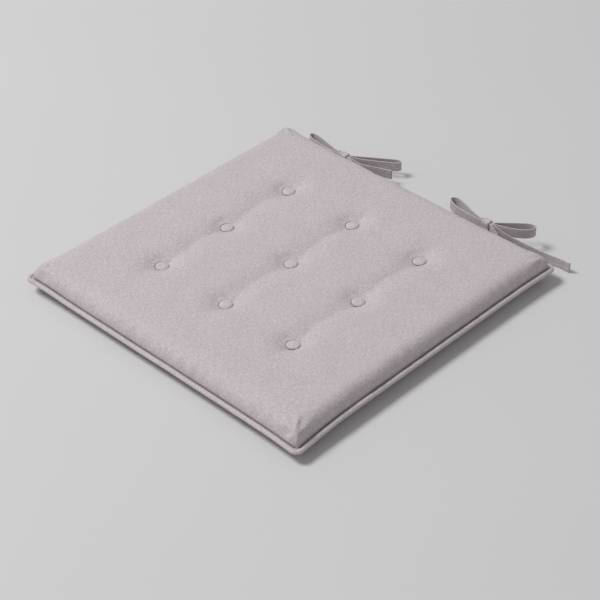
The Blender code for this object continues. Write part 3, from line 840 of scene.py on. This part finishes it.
# %% Shapes added to the top panel
EARS, DROOP = 0.0024, 0.0028
BUTTON_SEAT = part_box("button_cover_middle_centre")[0].z
COLUMNS_X = sorted({round(float(tuft[0]), 5) for tuft in TUFTS})
PITCH = COLUMNS_X[1] - COLUMNS_X[0]


def soft_step(value):
    clipped = np.clip(value, 0.0, 1.0)
    return clipped * clipped * (3.0 - 2.0 * clipped)


def rumple(x, y, scale, seed):
    """Smooth uneven noise over the cloth, from -1 to 1."""
    return np.array([
        noise.noise(Vector((float(a) * scale, float(b) * scale, seed))) for a, b in zip(x, y)
    ])


VALLEY_DEPTH, VALLEY_REACH = 0.0036, 0.026
DIMPLE_DEPTH, DIMPLE_REACH = 0.0054, 0.034


def hollow(away, reach):
    """A pillow's flank: level at its reach, and steepest where two of them meet in a crease."""
    return np.clip(1.0 - away / reach, 0.0, 1.0) ** 2


def valleys(x, y):
    """Creases that join the tufts of each column and bulge to one side between them."""
    deep = np.zeros_like(x)
    fade = 1.0 - soft_step((np.abs(y) - PITCH) / 0.046)
    between = np.sin(np.pi * y / PITCH) ** 2
    wander = 0.0014 * np.sin(y * 71.0) + 0.0009 * np.sin(y * 173.0)
    for number, column in enumerate(COLUMNS_X):
        offset = x - column - 0.0010 + 0.0042 * between + wander * (number - 1.3)
        depth = VALLEY_DEPTH * fade * (1.0 - 0.10 * between)
        deep = np.maximum(deep, depth * hollow(np.abs(offset), VALLEY_REACH))
    return deep


def dimples(x, y):
    """Round hollows at the tufts, which reach a little further across than along."""
    deep = np.zeros_like(x)
    for tuft_x, tuft_y in TUFTS:
        away = np.hypot((x - tuft_x) * 0.95, y - tuft_y)
        deep = np.maximum(deep, DIMPLE_DEPTH * hollow(away, DIMPLE_REACH))
    return deep


def well(away, z, floor):
    """The cloth drops steeply under the edge of each button, down to the button's foot."""
    return floor + (z - floor) * soft_step((away - 0.0073) / 0.0007)


def strayed(x, y):
    """How far the seam strays from a level square: out at each corner, and down in front."""
    push = EARS * (np.abs(x * y) / (HALF.x * HALF.y)) ** 6
    drop = DROOP * soft_step((-y / HALF.y - 0.66) / 0.34) * soft_step((x + 0.190) / 0.070)
    return push * np.sign(x), push * np.sign(y), -drop


def button_creases(x, y):
    """Crescents and short radial gathers round each button."""
    change = np.zeros_like(x)
    for number, (tuft_x, tuft_y) in enumerate(TUFTS):
        away = np.hypot(x - tuft_x, y - tuft_y)
        angle = np.arctan2(y - tuft_y, x - tuft_x)
        near = np.exp(-((away - 0.0125) / 0.0030) ** 2)
        facing = 0.5 + 0.5 * np.cos(angle - math.radians(150.0 + 20.0 * math.sin(number * 2.3)))
        change -= 0.0010 * near * facing ** 2
        gather = np.sin(angle * 7.0 + number * 1.7) * np.exp(-((away - 0.012) / 0.005) ** 2)
        change += 0.00020 * gather
    return change


def seam_puckers(x, y, seed):
    """Ripples that run up the rolled side from the seam: a push along the outline's normal."""
    near_seam = np.exp(-(inset(x, y) / 0.0075) ** 2)
    turn = np.where(np.abs(x) * HALF.y > np.abs(y) * HALF.x, y, x)
    fine = rumple(turn, np.sign(x + y) + 0.0 * x, 95.0, seed)
    broad = rumple(turn, np.sign(x - y) + 0.0 * x, 32.0, seed + 5.0)
    return (0.0012 * fine + 0.0010 * broad) * near_seam


def corner_folds(x, y):
    change = np.zeros_like(x)
    for sign_x, sign_y in ((-1, -1), (1, -1), (1, 1), (-1, 1)):
        to_x = sign_x * (HALF.x - 0.004) - x
        to_y = sign_y * (HALF.y - 0.004) - y
        away = np.hypot(to_x, to_y)
        angle = np.arctan2(to_y, to_x) - math.atan2(sign_y, sign_x)
        fan = np.cos(angle * 9.0 + sign_x * 0.8) * np.exp(-((away - 0.012) / 0.008) ** 2)
        change += 0.0013 * fan
    return change


# %% Split, refine and shape the panels
def refined(mesh, tag):
    """One panel of the skin, with one level of subdivision applied."""
    bm = bmesh.new()
    bm.from_mesh(mesh)
    others = [face for face in bm.faces if face.material_index != tag]
    bmesh.ops.delete(bm, geom=others, context="FACES")
    for face in bm.faces:
        face.material_index = 0
    panel = bpy.data.meshes.new("panel")
    bm.to_mesh(panel)
    bm.free()
    helper = bpy.data.objects.new("panel", panel)
    bpy.context.scene.collection.objects.link(helper)
    helper.modifiers.new("Finer", "SUBSURF").levels = 1
    finer = bpy.data.meshes.new_from_object(
        helper.evaluated_get(bpy.context.evaluated_depsgraph_get())
    )
    bpy.data.objects.remove(helper)
    bm = bmesh.new()
    bm.from_mesh(finer)
    for nearest, furthest, cuts in ((0.0, 0.0125, 2), (0.0064, 0.0090, 1)):
        edges = set()
        for face in bm.faces if tag == TOP_FACE else ():
            middle = face.calc_center_median()
            away = min(math.dist(middle[:2], tuft) for tuft in TUFTS)
            if nearest <= away < furthest:
                edges.update(face.edges)
        bmesh.ops.subdivide_edges(bm, edges=list(edges), cuts=cuts,
                                  use_grid_fill=True)
    bm.to_mesh(finer)
    bm.free()
    return finer


def outward(x, y):
    """Unit vectors that point out across the outline."""
    across = np.maximum(np.abs(x) - (HALF.x - CORNER - 0.02), 0.0) * np.sign(x)
    along = np.maximum(np.abs(y) - (HALF.y - CORNER - 0.02), 0.0) * np.sign(y)
    size = np.maximum(np.hypot(across, along), 1e-9)
    return across / size, along / size


def shape_top(places):
    x, y, z = places.T.copy()
    share = rise(x, y)
    z = SEAM_HEIGHT + SEAM_GAP + (z - SEAM_HEIGHT) * (TOP_HIGH.z - SEAM_HEIGHT - SEAM_GAP) / (
        TOP_HIGH.z - SEAM_HEIGHT)
    away = np.min([np.hypot(x - tuft[0], y - tuft[1]) for tuft in TUFTS], axis=0)
    z -= (valleys(x, y) + dimples(x, y)) * share
    z += button_creases(x, y)
    z += 0.0006 * rumple(x, y, 16.0, 2.0) * share + 0.00018 * rumple(x, y, 60.0, 4.0)
    z = well(away, z, BUTTON_SEAT - 0.0006)
    push = seam_puckers(x, y, 1.0) + corner_folds(x, y)
    out_x, out_y = outward(x, y)
    fade = np.clip(inset(x, y) / 0.001, 0.0, 1.0)
    aside, ahead, up = strayed(x, y)
    near_seam = np.clip(1.0 - inset(x, y) / 0.024, 0.0, 1.0) ** 2
    return np.stack((x + aside + out_x * push * fade, y + ahead + out_y * push * fade,
                     z + up * near_seam + push * fade * 0.7), axis=1)


def shape_under(places):
    x, y, z = places.T.copy()
    z = (SEAM_HEIGHT - SEAM_GAP) * z / SEAM_HEIGHT
    push = seam_puckers(x, y, 9.0)
    out_x, out_y = outward(x, y)
    fade = np.clip(inset(x, y) / 0.001, 0.0, 1.0)
    aside, ahead, up = strayed(x, y)
    z += up * z / SEAM_HEIGHT
    return np.stack((x + aside + out_x * push * fade, y + ahead + out_y * push * fade,
                     np.maximum(z, 0.0002)), axis=1)


def make_panel(name, tag, shape, node):
    mesh = refined(skin_mesh, tag)
    move_to(mesh, shape(coordinates(mesh)))
    bm = bmesh.new()
    bm.from_mesh(mesh)
    bpy.data.meshes.remove(mesh)
    panel = shown(name, bm, PANEL_CLOTH, "pad", (node,))
    wall = panel.modifiers.new("Cloth wall", "SOLIDIFY")
    wall.thickness = 0.0008
    wall.offset = -1.0
    sides = sum(len(face.vertices) - 2 for face in panel.data.polygons)
    print(name, "has", len(panel.data.polygons), "faces, and", 2 * sides, "triangles in its wall")
    return panel


top_cover = make_panel("top_cover", TOP_FACE, shape_top, "top_panel")
under_cover = make_panel("under_cover", UNDER_FACE, shape_under, "bottom_panel")

# %% [markdown]
# ## The foam
# The slab inside follows the same skin, drawn in by the thickness of the cloth and a little air.

# %% Foam core
def make_foam():
    foam_mesh = skin_mesh.copy()
    places = coordinates(foam_mesh)
    top = places[:, 2] > SEAM_HEIGHT
    shaped = np.where(top[:, None], shape_top(places), shape_under(places))
    move_to(foam_mesh, shaped)
    bm = bmesh.new()
    bm.from_mesh(foam_mesh)
    bmesh.ops.recalc_face_normals(bm, faces=bm.faces)
    bm.normal_update()
    inward = {vert: vert.normal * 0.0018 for vert in bm.verts}
    for vert, step in inward.items():
        vert.co -= step
        edge = max(abs(vert.co.x) - 0.1895, abs(vert.co.y) - 0.1895, 0.0)
        if edge > 0.0:
            vert.co.x = max(-0.1895, min(0.1895, vert.co.x))
            vert.co.y = max(-0.1895, min(0.1895, vert.co.y))
    bmesh.ops.remove_doubles(bm, verts=bm.verts, dist=0.00005)
    for face in bm.faces:
        face.material_index = 0
    return shown("foam_slab", bm, FOAM, "pad", ("foam_core",))


foam_slab = make_foam()
bpy.data.meshes.remove(skin_mesh)
print("foam_slab has", len(foam_slab.data.polygons), "faces")

# %% [markdown]
# ## Piping
# A bias strip is folded round a cotton cord and sewn in between the panels. Its roll is never
# quite even: it swells and narrows by a tenth of a millimetre or two, and it has one join, where
# the strip's ends overlap. It is swept as a closed ring, with the sewn-in flange behind it.

# %% Piping round the seam
PIPING_RADIUS = 0.0025
PIPING_HALF = Vector((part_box("piping_cover")[1].x - PIPING_RADIUS, EDGE_OF_PAD))
PIPING_CORNER = 0.0068
FLANGE = 0.0088                    # from the piping's middle to the flange's raw edge
JOIN_X = 0.118                     # where the strip's ends overlap, on the front edge


def outline_frames(half, corner, spacing):
    """Frames round a rectangle with rounded corners, anticlockwise from the right front."""
    frames = []
    travelled = 0.0
    for quarter, (sign_x, sign_y) in enumerate(((1, 1), (-1, 1), (-1, -1), (1, -1))):
        turn_centre = Vector((sign_x * (half.x - corner), sign_y * (half.y - corner), 0.0))
        steps = 10
        for step in range(steps + 1):
            angle = (quarter + step / steps) * math.pi / 2.0
            spoke = Vector((math.cos(angle), math.sin(angle), 0.0))
            frames.append([turn_centre + corner * spoke, spoke, travelled])
            travelled += corner * math.pi / 2.0 / steps
        straight = 2.0 * ((half.x if quarter % 2 == 0 else half.y) - corner)
        along = Vector((-spoke.y, spoke.x, 0.0))
        count = int(straight / spacing)
        for step in range(1, count):
            place = frames[-1][0] if step == 1 else start
            start = place
            here = start + along * straight * step / count
            frames.append([here, spoke, travelled + straight * step / count])
        travelled += straight
    return frames, travelled


piping_frames, piping_length = outline_frames(PIPING_HALF, PIPING_CORNER, 0.0028)
print("piping is", round(1000 * piping_length), "mm round")


def piping_section():
    """Out and up of the closed outline, and its place across the strip."""
    half_flange = 0.00072
    mouth = math.asin(half_flange / PIPING_RADIUS)
    points = [(-FLANGE, -half_flange), (-FLANGE, half_flange)]
    for step in range(19):
        angle = math.pi - mouth - (2.0 * math.pi - 2.0 * mouth) * step / 18
        points.append((PIPING_RADIUS * math.cos(angle), PIPING_RADIUS * math.sin(angle)))
    across = [0.0]
    for before, after in zip(points, points[1:]):
        across.append(across[-1] + math.dist(before, after))
    return points, across


def make_piping():
    points, across = piping_section()
    bm = bmesh.new()
    cloth_place = {}
    rings = []
    for place, spoke, travelled in piping_frames:
        swell = 1.0 + 0.035 * noise.noise(Vector((travelled * 55.0, 0.0, 3.0)))
        swell += 0.03 * noise.noise(Vector((travelled * 190.0, 5.0, 3.0)))
        lift = 0.0004 * noise.noise(Vector((travelled * 22.0, 9.0, 1.0)))
        at_join = place.y < 0.0 and abs(place.x - JOIN_X) < 0.0030
        aside, ahead, down = (float(part) for part in strayed(place.x, place.y))
        place = place + Vector((aside, ahead, down))
        if at_join:
            swell += 0.10
        ring = []
        for (out, up), width in zip(points, across):
            grown = swell if out > -PIPING_RADIUS * 1.05 else 1.0
            vert = bm.verts.new(place + spoke * out * grown
                                + Vector((0.0, 0.0, SEAM_HEIGHT + up * grown + lift)))
            cloth_place[vert] = (travelled, width)
            ring.append(vert)
        rings.append([bm.edges.new((ring[i - 1], ring[i])) for i in range(len(ring))])
    for index in range(len(rings)):
        bmesh.ops.bridge_loops(bm, edges=rings[index - 1] + rings[index])
    bmesh.ops.recalc_face_normals(bm, faces=bm.faces)
    mapped(bm, cloth_place.get)
    return shown("piping", bm, PIPING_CLOTH, "pad", ("piping_cover",))


FILLER_RADIUS = 0.0017


def make_filler_cord():
    bm = bmesh.new()
    cord_place = {}
    rings = []
    for place, spoke, travelled in piping_frames:
        aside, ahead, down = (float(part) for part in strayed(place.x, place.y))
        centre = place + Vector((aside, ahead, SEAM_HEIGHT + down))
        ring = []
        for step in range(16):
            angle = 2.0 * math.pi * step / 16
            vert = bm.verts.new(centre + spoke * (FILLER_RADIUS * math.cos(angle))
                                + Vector((0.0, 0.0, FILLER_RADIUS * math.sin(angle))))
            cord_place[vert] = (travelled, FILLER_RADIUS * angle)
            ring.append(vert)
        rings.append([bm.edges.new((ring[i - 1], ring[i])) for i in range(len(ring))])
    for index in range(len(rings)):
        bmesh.ops.bridge_loops(bm, edges=rings[index - 1] + rings[index])
    bmesh.ops.recalc_face_normals(bm, faces=bm.faces)
    mapped(bm, cord_place.get)
    return shown("filler_cord", bm, COTTON, "pad", ("piping_cord",))


piping = make_piping()
print("piping has", len(piping.data.polygons), "faces")
filler_cord = make_filler_cord()

# %% [markdown]
# ## Buttons
# A covered button is a pressed shell with a round of cloth gathered over it. It is spun from its
# profile, then its rim is gathered: the cloth that turns under the edge is too long for it and
# folds into small pleats, which show as an uneven rim from above.

# %% Covered buttons
def turned(profile, steps=48):
    """Spins a profile of (radius, height) round the upright axis into a closed body."""
    bm = bmesh.new()
    verts = [bm.verts.new((radius, 0.0, height)) for radius, height in profile]
    edges = [bm.edges.new(pair) for pair in zip(verts, verts[1:])]
    bmesh.ops.spin(bm, geom=verts + edges, cent=(0.0, 0.0, 0.0), axis=(0.0, 0.0, 1.0),
                   angle=2.0 * math.pi, steps=steps, use_merge=True)
    bmesh.ops.remove_doubles(bm, verts=bm.verts, dist=0.000005)
    bmesh.ops.recalc_face_normals(bm, faces=bm.faces)
    return bm


COVER_PROFILE = [                  # radius and height, as shares of the button's own
    (0.0, 1.0), (0.30, 0.985), (0.55, 0.95), (0.74, 0.88), (0.87, 0.77), (0.95, 0.63),
    (0.99, 0.47), (1.0, 0.35), (0.985, 0.20), (0.95, 0.08), (0.88, 0.0), (0.72, 0.0),
    (0.62, 0.05), (0.62, 0.16), (0.86, 0.16), (0.915, 0.28), (0.93, 0.42), (0.88, 0.58),
    (0.74, 0.71), (0.45, 0.81), (0.0, 0.84),
]


def make_button(spot, number):
    low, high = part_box(f"button_cover_{spot}")
    radius = (high.x - low.x) / 2.0
    tall = high.z - low.z
    centre = Vector(((low.x + high.x) / 2.0, (low.y + high.y) / 2.0, low.z))
    bm = turned([(radius * out, tall * up) for out, up in COVER_PROFILE])
    spin = number * 1.1
    for vert in bm.verts:
        angle = math.atan2(vert.co.y, vert.co.x)
        out = vert.co.xy.length / radius
        pleat = math.sin(angle * 13.0 + number) + 0.6 * math.sin(angle * 21.0 + 2.0 * number)
        vert.co.xy *= 1.0 + 0.016 * pleat * out ** 3
        vert.co.z += tall * 0.03 * pleat * out ** 4 * (vert.co.z / tall)
    lean = Matrix.Rotation(0.05 * math.sin(number * 2.1), 4, "X") @ Matrix.Rotation(
        0.05 * math.cos(number * 1.3), 4, "Y")
    mapped(bm, lambda vert: (
        math.cos(spin) * vert.co.x - math.sin(spin) * vert.co.y,
        math.sin(spin) * vert.co.x + math.cos(spin) * vert.co.y,
    ))
    bmesh.ops.transform(bm, matrix=Matrix.Translation(centre) @ lean, verts=bm.verts)
    return shown(f"covered_button_{spot}", bm, BUTTON_CLOTH, "pad",
                 (f"button_cover_{spot}",))


for number, spot in enumerate(SPOTS):
    make_button(spot, number)
repaint([f"button_shell_{spot}" for spot in SPOTS], STEEL)
repaint([f"tuft_thread_{spot}" for spot in SPOTS], TWINE)
print("made", len(SPOTS), "covered buttons")

# %% [markdown]
# ## Backing buttons
# Underneath, a plain moulded button with a raised rim stops the twine. The twine is two short
# rods where the holes would be, with a flattened bead of twine between them in the hollow
# underneath.

# %% Backing buttons and their twine
def make_backing(spot):
    low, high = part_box(f"backing_button_{spot}")
    radius = (high.x - low.x) / 2.0
    thick = high.z - low.z
    centre = Vector(((low.x + high.x) / 2.0, (low.y + high.y) / 2.0, low.z))
    profile = [(0.0, 1.0), (0.90, 1.0), (1.0, 0.80), (1.0, 0.22), (0.93, 0.0), (0.78, 0.0),
               (0.68, 0.22), (0.62, 0.36), (0.0, 0.36)]
    bm = turned([(radius * out, thick * up) for out, up in profile], 40)
    bmesh.ops.transform(bm, matrix=Matrix.Translation(centre), verts=bm.verts)
    button = shown(f"backing_{spot}", bm, PLASTIC, "pad",
                   (f"backing_button_{spot}",))
    loop = bmesh.new()
    for side in (-1.0, 1.0):
        bmesh.ops.create_cone(loop, cap_ends=True, segments=12, radius1=0.0009, radius2=0.0009,
                              depth=thick * 0.7, matrix=Matrix.Translation(
                                  centre + Vector((side * 0.0016, 0.0, thick * 0.60))))
    bmesh.ops.create_icosphere(loop, subdivisions=2, radius=1.0, matrix=Matrix.Translation(
        centre + Vector((0.0, 0.0, thick * 0.26))) @ Matrix.Diagonal((0.0026, 0.0008, 0.0005, 1)))
    shown(f"twine_stitch_{spot}", loop, TWINE, "pad")
    return button


for spot in SPOTS:
    make_backing(spot)
print("made", len(SPOTS), "backing buttons")

# %% [markdown]
# ## Floor and light
# The pad lies on a plain pale floor. One large soft light stands far to the side, where its light
# crosses the tufts at a slant and shows their hollows; an even pale sky fills the shade.

# %% Floor, light and sky
floor_mesh = bmesh.new()
bmesh.ops.create_grid(floor_mesh, x_segments=1, y_segments=1, size=6.0)
floor_data = bpy.data.meshes.new("floor")
floor_mesh.to_mesh(floor_data)
floor_mesh.free()
floor = bpy.data.objects.new("floor", floor_data)
bpy.context.scene.collection.objects.link(floor)
painted = Finish("pale matte floor", Roughness=0.8, Specular_IOR_Level=0.2)
floor_x, floor_y, floor_z = painted.place("object")
painted.colour(painted.shade((0.66, 0.66, 0.67),
                             painted.speckle(painted.at(floor_x, floor_y), 0.004) * 0.02 + 0.99))
floor_data.materials.append(painted.material)

LIGHT_FROM = Vector((-0.8, -0.6, 1.54)).normalized()
lamp = bpy.data.objects.new("softbox", bpy.data.lights.new("softbox", "AREA"))
lamp.data.shape = "DISK"
lamp.data.size = 1.9
lamp.data.energy = 169.0
lamp.location = LIGHT_FROM * 5.0
lamp.rotation_euler = LIGHT_FROM.to_track_quat("Z", "Y").to_euler()
bpy.context.scene.collection.objects.link(lamp)

sky = bpy.data.worlds.new("pale studio")
sky.use_nodes = True
sky.node_tree.nodes["Background"].inputs["Color"].default_value = (1.0, 0.970, 0.955, 1.0)
sky.node_tree.nodes["Background"].inputs["Strength"].default_value = 0.36
bpy.context.scene.world = sky
bpy.context.scene.view_settings.view_transform = "Standard"
print("light stands", round(lamp.location.length, 1), "m away")
